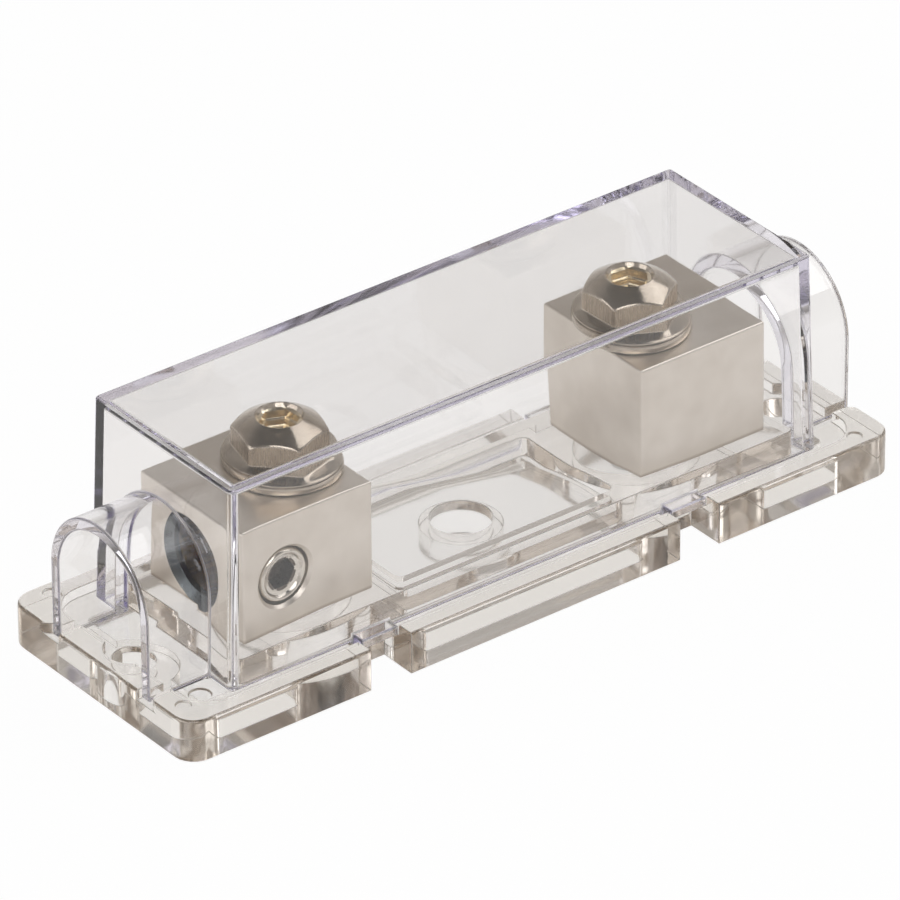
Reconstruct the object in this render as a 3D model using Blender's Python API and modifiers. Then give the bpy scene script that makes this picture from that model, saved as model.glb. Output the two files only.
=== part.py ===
"""A clear in-line fuse holder: moulded base, snap-on cover, two plated terminal blocks and their screws.

Lengths are in metres. X runs along the holder, Y across it and Z up. The origin is the middle of the
base's underside. The two ends are the same part turned half a turn about Z.
"""
import math

import bmesh
import bpy
from mathutils import Matrix, Vector

MM = 0.001

# Clearance left between pieces that touch or seat on each other
SEAT_GAP = 0.3 * MM
# How far a cutter reaches past the face that it opens
REACH = 2.0 * MM

# Base plate
BASE_LENGTH = 123.9 * MM
BASE_WIDTH = 41.5 * MM
BASE_HEIGHT = 6.5 * MM
BASE_CORNER = 3.3 * MM
BASE_EDGE = 0.5 * MM
PLASTIC_WALL = 2.0 * MM

# Recess in the base that takes the foot of the cover
SEAT_SIDE_MARGIN = 2.9 * MM
SEAT_END_MARGIN = 3.9 * MM
SEAT_DEPTH = 1.6 * MM
SEAT_CORNER = 5.0 * MM

# Raised platform for the two terminal blocks, with a hollow between them
PLATFORM_RISE = 2.3 * MM
PLATFORM_SLACK = 1.1 * MM
PLATFORM_CORNER = 1.2 * MM
PLATFORM_RAIL = 3.1 * MM
HOLLOW_LENGTH = 37.8 * MM
HOLLOW_FLOOR_DROP = 2.6 * MM

# Screw holes of the base
END_HOLE_BORE = 5.6 * MM
END_HOLE_RELIEF = 8.0 * MM
END_HOLE_EDGE_DISTANCE = 5.9 * MM
CENTRE_HOLE_BORE = 8.9 * MM
CENTRE_BOSS_DIAMETER = 11.8 * MM
CENTRE_BOSS_SHORTFALL = 0.5 * MM

# Notches in the long sides for the finger tabs of the cover
NOTCH_SPACING = 54.1 * MM
NOTCH_SHIFT = 0.5 * MM
NOTCH_LENGTH = 6.9 * MM
NOTCH_DEPTH = 6.1 * MM

# Cores in the underside
CORE_SIDE_WALL = 6.9 * MM
CORE_END_WALL = 7.4 * MM
CORE_MID_LENGTH = 38.4 * MM
CORE_CORNER = 1.0 * MM
CORE_RIB = 1.2 * MM
END_TUBE_DIAMETER = 11.8 * MM

# Round marks that the pins of the mould leave: places from the middle of the base, and sizes
RIM_PIN_PLACES = ((-59.2, -15.9), (56.5, -18.3))
RIM_PIN_DIAMETER = 2.2 * MM
SEAT_PIN_PLACES = ((-54.4, -13.2),)
SEAT_PIN_DIAMETER = 3.2 * MM
PIN_DEPTH = 0.25 * MM

# Cover
COVER_LENGTH = 100.6 * MM
COVER_WIDTH = 31.1 * MM
COVER_TOP = 37.0 * MM
COVER_WALL = 1.5 * MM
COVER_END_DRAFT = 1.0 * MM
COVER_SIDE_DRAFT = 0.6 * MM
COVER_CORNER = 0.7 * MM
COVER_EDGE = 0.35 * MM

# Arched cable hood at each end of the cover
HOOD_LENGTH = 11.1 * MM
HOOD_WIDTH = 22.2 * MM
HOOD_WALL = 1.8 * MM
HOOD_APEX = 28.0 * MM
SLOT_MOUTH = 2.0 * MM

# Finger tabs of the cover
TAB_LENGTH = 6.3 * MM
TAB_REACH = 2.2 * MM
TAB_THICKNESS = 1.5 * MM

# Terminal blocks
BOLT_SPACING = 61.0 * MM
BLOCK_LENGTH = 21.0 * MM
BLOCK_WIDTH = 21.0 * MM
BLOCK_HEIGHT = 17.0 * MM
BLOCK_EDGE = 0.35 * MM
BOLT_SETBACK = 6.7 * MM
BORE_DIAMETER = 12.4 * MM
BORE_CHAMFER = 1.0 * MM
BORE_HEIGHT = 7.5 * MM

# Fuse bolt, an M8 flange bolt with a hexagon socket
BOLT_THREAD = 8.0 * MM
BOLT_LENGTH = 10.0 * MM
BOLT_HOLE_SLACK = 0.6 * MM
BOLT_TIP_ROOM = 0.5 * MM
BOLT_FLATS = 12.0 * MM
BOLT_HEAD = 4.9 * MM
FLANGE_DIAMETER = 16.2 * MM
FLANGE_EDGE = 0.6 * MM
FLANGE_RISE = 1.0 * MM
SOCKET_FLATS = 5.0 * MM
SOCKET_RIM = 6.6 * MM
SOCKET_DEPTH = 3.2 * MM
SOCKET_TURN = 20.0
DOME_DROP = 1.75 * MM
BOLT_TURN = {"left": 16.0, "right": 33.0}

# Flat washer under the bolt
WASHER_DIAMETER = 16.4 * MM
WASHER_HOLE = 8.6 * MM
WASHER_THICKNESS = 1.0 * MM

# Cable grub screw, M8
GRUB_DIAMETER = 8.0 * MM
GRUB_LENGTH = 6.0 * MM
GRUB_END_DISTANCE = 6.5 * MM
GRUB_INSET = 0.3 * MM
GRUB_SOCKET_FLATS = 4.0 * MM
GRUB_SOCKET_DEPTH = 3.2 * MM
GRUB_CHAMFER = 0.7 * MM
GRUB_HOLE_CHAMFER = 0.5 * MM

# Screw that holds a block from beneath, M4 with a pan head
FIXING_THREAD = 4.0 * MM
FIXING_HOLE_SLACK = 0.6 * MM
FIXING_GRIP = 4.3 * MM
FIXING_TIP_ROOM = 0.4 * MM
FIXING_HEAD_DIAMETER = 8.0 * MM
FIXING_HEAD_HEIGHT = 2.6 * MM
FIXING_CROSS_WIDTH = 1.1 * MM
FIXING_CROSS_LENGTH = 4.4 * MM
FIXING_CROSS_DEPTH = 1.4 * MM
FIXING_WEB = 3.0 * MM
FIXING_COUNTERBORE = 18.0 * MM

# Number of sides of round shapes
SIDES_LARGE = 56
SIDES_SMALL = 32
ARC_STEPS = 6

# Levels and places that follow from the sizes above
SEAT_FLOOR = BASE_HEIGHT - SEAT_DEPTH
PLATFORM_TOP = BASE_HEIGHT + PLATFORM_RISE
HOLLOW_FLOOR = PLATFORM_TOP - HOLLOW_FLOOR_DROP
COVER_FOOT = SEAT_FLOOR + SEAT_GAP
COVER_FOOT_LENGTH = COVER_LENGTH + 2 * COVER_END_DRAFT
COVER_FOOT_WIDTH = COVER_WIDTH + 2 * COVER_SIDE_DRAFT
PLATFORM_LENGTH = COVER_FOOT_LENGTH - 2 * (COVER_WALL + PLATFORM_SLACK)
PLATFORM_WIDTH = COVER_FOOT_WIDTH - 2 * (COVER_WALL + PLATFORM_SLACK)
HOLLOW_WIDTH = PLATFORM_WIDTH - 2 * PLATFORM_RAIL
SEAT_LENGTH = BASE_LENGTH - 2 * SEAT_END_MARGIN
SEAT_WIDTH = BASE_WIDTH - 2 * SEAT_SIDE_MARGIN
END_HOLE_X = BASE_LENGTH / 2 - END_HOLE_EDGE_DISTANCE
HOOD_END = COVER_LENGTH / 2 + HOOD_LENGTH
HOOD_RADIUS = HOOD_WIDTH / 2
HOOD_SPRING = HOOD_APEX - HOOD_RADIUS
TUNNEL_RADIUS = HOOD_RADIUS - HOOD_WALL
NOTCH_X = NOTCH_SPACING / 2
CORE_WIDTH = BASE_WIDTH - 2 * CORE_SIDE_WALL
BOLT_X = BOLT_SPACING / 2
BLOCK_FOOT = PLATFORM_TOP + SEAT_GAP
BLOCK_TOP = BLOCK_FOOT + BLOCK_HEIGHT
BLOCK_INNER_X = BOLT_X - BOLT_SETBACK
BLOCK_OUTER_X = BLOCK_INNER_X + BLOCK_LENGTH
BORE_Z = BLOCK_FOOT + BORE_HEIGHT
WASHER_FOOT = BLOCK_TOP + SEAT_GAP
FLANGE_FOOT = WASHER_FOOT + WASHER_THICKNESS + SEAT_GAP
BOLT_TIP = FLANGE_FOOT - BOLT_LENGTH
GRUB_X = BLOCK_OUTER_X - GRUB_END_DISTANCE
BORE_END_X = GRUB_X - GRUB_DIAMETER / 2 - SEAT_GAP
END_CORE_START = BOLT_X + FIXING_COUNTERBORE / 2 + CORE_RIB
END_CORE_STOP = BASE_LENGTH / 2 - CORE_END_WALL
GRUB_FACE_Y = -BLOCK_WIDTH / 2 + GRUB_INSET
FIXING_WEB_FOOT = PLATFORM_TOP - FIXING_WEB
FIXING_HEAD_TOP = FIXING_WEB_FOOT - SEAT_GAP
FIXING_TIP = BLOCK_FOOT + FIXING_GRIP


def clear_scene():
    """Removes what the scene holds."""
    for item in list(bpy.data.objects):
        bpy.data.objects.remove(item)


def new_collection(name):
    """A collection of its own under the scene."""
    collection = bpy.data.collections.new(name)
    bpy.context.scene.collection.children.link(collection)
    return collection


def new_material(name, colour, roughness, metallic, clear=0.0):
    """A Principled material with one colour."""
    material = bpy.data.materials.new(name)
    material.use_nodes = True
    shader = material.node_tree.nodes["Principled BSDF"]
    shader.inputs["Base Color"].default_value = (*colour, 1.0)
    shader.inputs["Roughness"].default_value = roughness
    shader.inputs["Metallic"].default_value = metallic
    shader.inputs["Transmission Weight"].default_value = clear
    return material


def place(item, collection):
    """Links an object to one collection."""
    collection.objects.link(item)
    return item


def object_from(name, bm, collection):
    """Turns a bmesh into an object."""
    mesh = bpy.data.meshes.new(name)
    bm.to_mesh(mesh)
    bm.free()
    return place(bpy.data.objects.new(name, mesh), collection)


def as_mesh(item, collection):
    """Replaces a curve object by the mesh of its evaluated shape, with its caps welded on."""
    depsgraph = bpy.context.evaluated_depsgraph_get()
    mesh = bpy.data.meshes.new_from_object(item.evaluated_get(depsgraph))
    bm = bmesh.new()
    bm.from_mesh(mesh)
    bmesh.ops.remove_doubles(bm, verts=bm.verts, dist=0.001 * MM)
    bm.to_mesh(mesh)
    bm.free()
    name, matrix = item.name, item.matrix_world.copy()
    bpy.data.objects.remove(item)
    solid = place(bpy.data.objects.new(name, mesh), collection)
    solid.matrix_world = matrix
    return solid


def rounded_rectangle(length, width, radius):
    """Points round a rectangle whose corners are arcs."""
    points = []
    for number, (sign_x, sign_y) in enumerate(((1, 1), (-1, 1), (-1, -1), (1, -1))):
        for step in range(ARC_STEPS + 1):
            angle = math.radians(90 * (number + step / ARC_STEPS))
            points.append((sign_x * (length / 2 - radius) + radius * math.cos(angle),
                           sign_y * (width / 2 - radius) + radius * math.sin(angle)))
    return points


def arch(radius, foot, spring, steps=36):
    """Points round an upright arch: straight legs from foot to spring and a half circle on them."""
    points = [(-radius, foot), (radius, foot)]
    for step in range(steps + 1):
        angle = math.pi * step / steps
        points.append((radius * math.cos(angle), spring + radius * math.sin(angle)))
    return points


def raised(name, outline, low, high, collection):
    """A flat outline in the XY plane, raised from one level to another."""
    curve = bpy.data.curves.new(name, "CURVE")
    curve.dimensions = "2D"
    curve.fill_mode = "BOTH"
    curve.extrude = (high - low) / 2
    spline = curve.splines.new("POLY")
    spline.points.add(len(outline) - 1)
    for point, (x, y) in zip(spline.points, outline):
        point.co = (x, y, 0, 1)
    spline.use_cyclic_u = True
    flat = place(bpy.data.objects.new(name, curve), collection)
    flat.location.z = (low + high) / 2
    bpy.context.view_layer.update()
    solid = as_mesh(flat, collection)
    solid.data.transform(solid.matrix_world)
    solid.matrix_world = Matrix()
    return solid


def tunnel_shape(name, outline, start, end, collection):
    """An outline in the YZ plane, drawn out along X from start to end."""
    solid = raised(name, outline, start, end, collection)
    solid.data.transform(Matrix(((0, 0, 1, 0), (1, 0, 0, 0), (0, 1, 0, 0), (0, 0, 0, 1))))
    return solid


def block_shape(name, low, high, collection):
    """A plain rectangular solid between two corners."""
    low, high = Vector(low), Vector(high)
    bm = bmesh.new()
    bmesh.ops.create_cube(bm, size=1.0)
    bmesh.ops.scale(bm, vec=high - low, verts=bm.verts)
    bmesh.ops.translate(bm, vec=(low + high) / 2, verts=bm.verts)
    return object_from(name, bm, collection)


def cone_shape(name, start, end, radius_start, radius_end, sides, collection):
    """A round bar or cone from one point to another."""
    start, end = Vector(start), Vector(end)
    along = end - start
    bm = bmesh.new()
    bmesh.ops.create_cone(bm, cap_ends=True, segments=sides, radius1=radius_start,
                          radius2=radius_end, depth=along.length)
    turn = Vector((0, 0, 1)).rotation_difference(along.normalized()).to_matrix().to_4x4()
    bmesh.ops.transform(bm, matrix=Matrix.Translation((start + end) / 2) @ turn, verts=bm.verts)
    return object_from(name, bm, collection)


def rod_shape(name, start, end, diameter, sides, collection):
    """A round bar of one diameter."""
    return cone_shape(name, start, end, diameter / 2, diameter / 2, sides, collection)


def hexagon_shape(name, flats, low, high, collection):
    """An upright hexagonal bar, with a corner towards +X."""
    corner = flats / math.sqrt(3)
    bm = bmesh.new()
    bmesh.ops.create_cone(bm, cap_ends=True, segments=6, radius1=corner, radius2=corner,
                          depth=high - low)
    bmesh.ops.rotate(bm, matrix=Matrix.Rotation(math.radians(30), 3, "Z"), verts=bm.verts)
    bmesh.ops.translate(bm, vec=(0, 0, (low + high) / 2), verts=bm.verts)
    return object_from(name, bm, collection)


def turned(name, profile, sides, collection):
    """A profile of (radius, height) points, from top to bottom, turned about Z."""
    bm = bmesh.new()
    verts = [bm.verts.new((radius, 0, height)) for radius, height in profile]
    for first, second in zip(verts, verts[1:]):
        bm.edges.new((first, second))
    item = object_from(name, bm, collection)
    spin = item.modifiers.new("Turn", "SCREW")
    spin.steps = sides
    spin.render_steps = sides
    spin.use_merge_vertices = True
    spin.merge_threshold = 0.00001
    return item


def round_edges(item, width, segments=2, angle=30):
    """Rounds the sharp edges of a solid."""
    bevel = item.modifiers.new("Rounded edges", "BEVEL")
    bevel.width = width
    bevel.segments = segments
    bevel.limit_method = "ANGLE"
    bevel.angle_limit = math.radians(angle)
    bevel.use_clamp_overlap = False


def combine(item, tool, operation):
    """Adds a tool to a solid, cuts it away or keeps what both share."""
    boolean = item.modifiers.new(operation.title(), "BOOLEAN")
    boolean.operation = operation
    boolean.solver = "EXACT"
    boolean.object = tool
    tool.hide_render = True
    tool.display_type = "WIRE"


def cut(item, tool):
    """Cuts a tool's shape out of a solid."""
    combine(item, tool, "DIFFERENCE")


def join(item, tool):
    """Joins a tool's shape to a solid."""
    combine(item, tool, "UNION")


def taper(item, foot, top):
    """Leans the ends and sides of an upright solid in by the cover's draft from foot to top."""
    for vertex in item.data.vertices:
        share = (vertex.co.z - foot) / (top - foot)
        vertex.co.x -= math.copysign(COVER_END_DRAFT * share, vertex.co.x)
        vertex.co.y -= math.copysign(COVER_SIDE_DRAFT * share, vertex.co.y)


def finish(item, material):
    """Gives a piece its material and smooth round sides."""
    item.data.materials.append(material)
    item.data.shade_smooth()
    item.data.set_sharp_from_angle(angle=math.radians(30))
    return item


def both_ends():
    """The signs of the two ends of the holder."""
    return (("left", -1), ("right", 1))


def build_base(parts, tools, plastic):
    """The moulded plate: rim, seat of the cover, platform, hollow, screw holes and cores."""
    base = raised("base", rounded_rectangle(BASE_LENGTH, BASE_WIDTH, BASE_CORNER),
                  -REACH, BASE_HEIGHT, parts)
    round_edges(base, BASE_EDGE, segments=3, angle=60)
    cut(base, block_shape("underside_trim", (-BASE_LENGTH, -BASE_WIDTH, -2 * REACH),
                          (BASE_LENGTH, BASE_WIDTH, 0), tools))
    cut_cover_seat(base, tools)
    platform = raised("platform", rounded_rectangle(PLATFORM_LENGTH, PLATFORM_WIDTH, PLATFORM_CORNER),
                      SEAT_FLOOR / 2, PLATFORM_TOP, tools)
    join(base, platform)
    hollow = raised("hollow", rounded_rectangle(HOLLOW_LENGTH, HOLLOW_WIDTH, PLATFORM_CORNER),
                    HOLLOW_FLOOR, PLATFORM_TOP + REACH, tools)
    cut(base, hollow)
    cut_underside(base, tools)
    cut_screw_holes(base, tools)
    cut_notches(base, tools)
    cut_pin_marks(base, tools)
    return finish(base, plastic)


def slot_outline(low, high):
    """Points round a leg slot, whose outer side is rounded where it meets the end of the base."""
    start, mouth = SEAT_LENGTH / 2 - REACH, BASE_LENGTH / 2
    points = [(start, low), (mouth + REACH, low), (mouth + REACH, high + SLOT_MOUTH)]
    for step in range(ARC_STEPS + 1):
        angle = math.radians(90 * step / ARC_STEPS)
        points.append((mouth - SLOT_MOUTH + SLOT_MOUTH * math.cos(angle),
                       high + SLOT_MOUTH - SLOT_MOUTH * math.sin(angle)))
    points.append((start, high))
    return points


def cut_cover_seat(base, tools):
    """The recess for the cover's foot, with a slot for each hood leg and room for the end screws."""
    seat = raised("cover_seat", rounded_rectangle(SEAT_LENGTH, SEAT_WIDTH, SEAT_CORNER),
                  SEAT_FLOOR, BASE_HEIGHT + REACH, tools)
    cut(base, seat)
    slot_low = TUNNEL_RADIUS - SEAT_GAP
    slot_high = HOOD_RADIUS + SEAT_GAP
    for end_name, end in both_ends():
        for side_name, side in (("front", -1), ("back", 1)):
            outline = [(end * x, side * y) for x, y in slot_outline(slot_low, slot_high)]
            slot = raised(f"leg_slot_{end_name}_{side_name}", outline, SEAT_FLOOR,
                          BASE_HEIGHT + REACH, tools)
            cut(base, slot)


def cut_underside(base, tools):
    """The cores of the underside, which leave a tube round each screw hole."""
    low_ceiling = SEAT_FLOOR - PLASTIC_WALL
    high_ceiling = HOLLOW_FLOOR - PLASTIC_WALL
    middle = raised("core_middle", rounded_rectangle(CORE_MID_LENGTH, CORE_WIDTH, CORE_CORNER),
                    -REACH, low_ceiling, tools)
    raised_core = raised("core_middle_raised",
                         rounded_rectangle(HOLLOW_LENGTH, HOLLOW_WIDTH, CORE_CORNER),
                         0, high_ceiling, tools)
    boss = rod_shape("core_middle_boss", (0, 0, CENTRE_BOSS_SHORTFALL), (0, 0, HOLLOW_FLOOR),
                     CENTRE_BOSS_DIAMETER, SIDES_LARGE, tools)
    join(middle, raised_core)
    cut(middle, boss)
    cut(base, middle)
    for end_name, end in both_ends():
        core = raised(f"core_{end_name}",
                      rounded_rectangle(END_CORE_STOP - END_CORE_START, CORE_WIDTH, CORE_CORNER),
                      -REACH, low_ceiling, tools)
        core.location.x = end * (END_CORE_START + END_CORE_STOP) / 2
        tube = rod_shape(f"core_tube_{end_name}", (end * END_HOLE_X, 0, -2 * REACH),
                         (end * END_HOLE_X, 0, SEAT_FLOOR), END_TUBE_DIAMETER, SIDES_LARGE, tools)
        cut(core, tube)
        cut(base, core)
        well = rod_shape(f"fixing_well_{end_name}", (end * BOLT_X, 0, -REACH),
                         (end * BOLT_X, 0, FIXING_WEB_FOOT), FIXING_COUNTERBORE, SIDES_LARGE, tools)
        cut(base, well)
        hole = rod_shape(f"fixing_hole_{end_name}", (end * BOLT_X, 0, 0),
                         (end * BOLT_X, 0, PLATFORM_TOP + REACH), FIXING_THREAD + FIXING_HOLE_SLACK,
                         SIDES_SMALL, tools)
        cut(base, hole)


def cut_screw_holes(base, tools):
    """The middle screw hole and the two at the ends."""
    centre = rod_shape("centre_hole", (0, 0, -REACH), (0, 0, HOLLOW_FLOOR + REACH),
                       CENTRE_HOLE_BORE, SIDES_LARGE, tools)
    cut(base, centre)
    for end_name, end in both_ends():
        hole = rod_shape(f"end_hole_{end_name}", (end * END_HOLE_X, 0, -REACH),
                         (end * END_HOLE_X, 0, BASE_HEIGHT + REACH), END_HOLE_BORE,
                         SIDES_SMALL, tools)
        cut(base, hole)
        relief = rod_shape(f"end_relief_{end_name}", (end * END_HOLE_X, 0, SEAT_FLOOR),
                           (end * END_HOLE_X, 0, BASE_HEIGHT + REACH), END_HOLE_RELIEF,
                           SIDES_SMALL, tools)
        cut(base, relief)


def cut_notches(base, tools):
    """Four notches through the rim, under the cover's finger tabs."""
    for end_name, end in both_ends():
        for side_name, side in (("front", -1), ("back", 1)):
            near, far = sorted((side * (BASE_WIDTH / 2 - NOTCH_DEPTH),
                                side * (BASE_WIDTH / 2 + REACH)))
            middle = end * NOTCH_X + side * NOTCH_SHIFT
            notch = block_shape(f"notch_{end_name}_{side_name}",
                                (middle - NOTCH_LENGTH / 2, near, -REACH),
                                (middle + NOTCH_LENGTH / 2, far, BASE_HEIGHT + REACH), tools)
            cut(base, notch)


def cut_pin_marks(base, tools):
    """Shallow round marks of the mould's pins on the rim and in the seat, the same after half a turn."""
    for kind, places, diameter, level in (("rim", RIM_PIN_PLACES, RIM_PIN_DIAMETER, BASE_HEIGHT),
                                          ("seat", SEAT_PIN_PLACES, SEAT_PIN_DIAMETER, SEAT_FLOOR)):
        for number, (x, y) in enumerate(places):
            for end_name, end in both_ends():
                spot = Vector((-end * x * MM, -end * y * MM, level - PIN_DEPTH))
                mark = rod_shape(f"pin_mark_{kind}_{number}_{end_name}", spot,
                                 spot + Vector((0, 0, REACH)), diameter, SIDES_SMALL, tools)
                cut(base, mark)


def build_cover(parts, tools, plastic):
    """The box cover with draft on its sides, its cable hoods and its finger tabs."""
    cover = raised("cover", rounded_rectangle(COVER_FOOT_LENGTH, COVER_FOOT_WIDTH, COVER_CORNER),
                   COVER_FOOT, COVER_TOP, parts)
    taper(cover, COVER_FOOT, COVER_TOP)
    round_edges(cover, COVER_EDGE, angle=60)
    for end_name, end in both_ends():
        start, stop = sorted((end * (COVER_LENGTH / 2 - COVER_WALL), end * HOOD_END))
        hood = tunnel_shape(f"hood_{end_name}", arch(HOOD_RADIUS, COVER_FOOT, HOOD_SPRING),
                            start, stop, tools)
        join(cover, hood)
        for side_name, side in (("front", -1), ("back", 1)):
            near, far = sorted((side * (COVER_FOOT_WIDTH - COVER_WALL) / 2,
                                side * (COVER_FOOT_WIDTH / 2 + TAB_REACH)))
            middle = end * NOTCH_X + side * NOTCH_SHIFT
            tab = block_shape(f"tab_{end_name}_{side_name}",
                              (middle - TAB_LENGTH / 2, near, COVER_FOOT),
                              (middle + TAB_LENGTH / 2, far, COVER_FOOT + TAB_THICKNESS),
                              tools)
            join(cover, tab)
    inside = raised("cover_inside",
                    rounded_rectangle(COVER_FOOT_LENGTH - 2 * COVER_WALL,
                                      COVER_FOOT_WIDTH - 2 * COVER_WALL, COVER_CORNER / 2),
                    COVER_FOOT, COVER_TOP - COVER_WALL, tools)
    taper(inside, COVER_FOOT, COVER_TOP)
    for vertex in inside.data.vertices:
        if vertex.co.z < COVER_FOOT + SEAT_GAP / 2:
            vertex.co.z -= REACH
    cut(cover, inside)
    for end_name, end in both_ends():
        start, stop = sorted((end * (COVER_LENGTH / 2 - COVER_WALL - REACH), end * (HOOD_END + REACH)))
        tunnel = tunnel_shape(f"tunnel_{end_name}",
                              arch(TUNNEL_RADIUS, COVER_FOOT - REACH, HOOD_SPRING),
                              start, stop, tools)
        cut(cover, tunnel)
    return finish(cover, plastic)


def build_block(name, parts, tools, metal):
    """A terminal block, drawn at the right-hand end with the cable bore facing +X."""
    half_width = BLOCK_WIDTH / 2
    middle_x = (BLOCK_INNER_X + BLOCK_OUTER_X) / 2
    block = block_shape(name, (BLOCK_INNER_X, -half_width, BLOCK_FOOT),
                        (BLOCK_OUTER_X, half_width, BLOCK_TOP), parts)
    round_edges(block, BLOCK_EDGE, segments=3)
    cut(block, rod_shape(f"{name}_bore", (BORE_END_X, 0, BORE_Z), (BLOCK_OUTER_X + REACH, 0, BORE_Z),
                         BORE_DIAMETER, SIDES_LARGE, tools))
    bore_radius = BORE_DIAMETER / 2
    cut(block, cone_shape(f"{name}_bore_chamfer", (BLOCK_OUTER_X - BORE_CHAMFER, 0, BORE_Z),
                          (BLOCK_OUTER_X + REACH, 0, BORE_Z), bore_radius,
                          bore_radius + BORE_CHAMFER + REACH, SIDES_LARGE, tools))
    cut(block, rod_shape(f"{name}_bolt_hole", (BOLT_X, 0, BOLT_TIP - BOLT_TIP_ROOM),
                         (BOLT_X, 0, BLOCK_TOP + REACH), BOLT_THREAD + BOLT_HOLE_SLACK,
                         SIDES_SMALL, tools))
    cut(block, rod_shape(f"{name}_fixing_hole", (BOLT_X, 0, BLOCK_FOOT - REACH),
                         (BOLT_X, 0, FIXING_TIP + FIXING_TIP_ROOM),
                         FIXING_THREAD + FIXING_HOLE_SLACK, SIDES_SMALL, tools))
    grub_hole = GRUB_DIAMETER + 2 * SEAT_GAP
    cut(block, rod_shape(f"{name}_grub_hole", (GRUB_X, half_width + REACH, BORE_Z),
                         (GRUB_X, 0, BORE_Z), grub_hole, SIDES_SMALL, tools))
    cut(block, cone_shape(f"{name}_grub_chamfer", (GRUB_X, half_width - GRUB_HOLE_CHAMFER, BORE_Z),
                          (GRUB_X, half_width + REACH, BORE_Z), grub_hole / 2,
                          grub_hole / 2 + GRUB_HOLE_CHAMFER + REACH, SIDES_SMALL, tools))
    block.data.transform(Matrix.Translation((-middle_x, 0, 0)))
    for modifier in block.modifiers:
        if modifier.type == "BOOLEAN":
            modifier.object.data.transform(Matrix.Translation((-middle_x, 0, 0)))
            modifier.object.parent = block
    block.location.x = middle_x
    return finish(block, metal)


def build_bolt(name, turn, parts, tools, metal):
    """The flange bolt: flange and shank turned, head a domed hexagon with a hexagon socket."""
    top = BOLT_HEAD
    flats = BOLT_FLATS / 2
    corner = BOLT_FLATS / math.sqrt(3)
    bolt = hexagon_shape(name, BOLT_FLATS, FLANGE_EDGE / 2, top, parts)
    dome = turned(f"{name}_dome",
                  [(0, top), (SOCKET_RIM / 2, top),
                   (0.78 * flats, top - 0.25 * DOME_DROP),
                   (flats, top - 0.6 * DOME_DROP),
                   (corner + REACH, top - DOME_DROP - REACH / 2), (corner + REACH, 0), (0, 0)],
                  SIDES_LARGE, tools)
    combine(bolt, dome, "INTERSECT")
    shank = BOLT_THREAD / 2
    chamfer = shank / 5
    rim = FLANGE_DIAMETER / 2
    edge = FLANGE_EDGE / 3
    flange = turned(f"{name}_flange",
                    [(0, FLANGE_RISE), (0.9 * flats, FLANGE_RISE), (rim - edge, FLANGE_EDGE),
                     (rim, FLANGE_EDGE - edge), (rim, edge), (rim - edge, 0), (shank, 0),
                     (shank, chamfer - BOLT_LENGTH), (shank - chamfer, -BOLT_LENGTH),
                     (0, -BOLT_LENGTH)],
                    SIDES_LARGE, tools)
    join(bolt, flange)
    socket = hexagon_shape(f"{name}_socket", SOCKET_FLATS, top - SOCKET_DEPTH, top + REACH, tools)
    cut(bolt, socket)
    socket.data.transform(Matrix.Rotation(math.radians(SOCKET_TURN), 4, "Z"))
    funnel = cone_shape(f"{name}_socket_rim", (0, 0, top - 0.35 * MM), (0, 0, top + REACH),
                     SOCKET_FLATS / 2, SOCKET_RIM / 2 + REACH, SIDES_SMALL, tools)
    cut(bolt, funnel)
    for tool in (dome, flange, socket, funnel):
        tool.parent = bolt
    bolt.rotation_euler.z = math.radians(turn)
    return finish(bolt, metal)


def build_washer(name, parts, metal):
    """A flat washer with slightly rounded edges."""
    outer, hole = WASHER_DIAMETER / 2, WASHER_HOLE / 2
    edge = WASHER_THICKNESS / 5
    washer = turned(name, [(hole, WASHER_THICKNESS), (outer - edge, WASHER_THICKNESS),
                           (outer, WASHER_THICKNESS - edge), (outer, edge), (outer - edge, 0),
                           (hole, 0), (hole, WASHER_THICKNESS)], SIDES_LARGE, parts)
    return finish(washer, metal)


def build_grub(name, parts, tools, metal):
    """A grub screw, drawn upright with its socket on top and its face at the origin."""
    radius = GRUB_DIAMETER / 2
    grub = turned(name, [(0, 0), (radius - GRUB_CHAMFER, 0), (radius, -GRUB_CHAMFER),
                         (radius, GRUB_CHAMFER - GRUB_LENGTH), (radius - GRUB_CHAMFER, -GRUB_LENGTH),
                         (radius / 2, -GRUB_LENGTH), (0, GRUB_CHAMFER - GRUB_LENGTH)],
                  SIDES_SMALL, parts)
    socket = hexagon_shape(f"{name}_socket", GRUB_SOCKET_FLATS, -GRUB_SOCKET_DEPTH, REACH, tools)
    cut(grub, socket)
    socket.parent = grub
    return finish(grub, metal)


def build_fixing_screw(name, parts, tools, metal):
    """A pan-head screw, drawn upside down as it sits: head below, thread up."""
    radius = FIXING_HEAD_DIAMETER / 2
    shank = FIXING_THREAD / 2
    tip = FIXING_TIP - FIXING_HEAD_TOP
    screw = turned(name, [(0, tip), (0.7 * shank, tip), (shank, tip - 0.3 * shank), (shank, 0),
                          (radius, 0), (radius, -0.45 * FIXING_HEAD_HEIGHT),
                          (0.88 * radius, -0.8 * FIXING_HEAD_HEIGHT),
                          (0.6 * radius, -FIXING_HEAD_HEIGHT), (0, -FIXING_HEAD_HEIGHT)],
                   SIDES_SMALL, parts)
    long_half, short_half = FIXING_CROSS_LENGTH / 2, FIXING_CROSS_WIDTH / 2
    for number, (half_x, half_y) in enumerate(((long_half, short_half), (short_half, long_half))):
        bar = block_shape(f"{name}_cross_{number}",
                          (-half_x, -half_y, -FIXING_HEAD_HEIGHT - REACH),
                          (half_x, half_y, FIXING_CROSS_DEPTH - FIXING_HEAD_HEIGHT), tools)
        cut(screw, bar)
        bar.parent = screw
    return finish(screw, metal)


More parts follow.
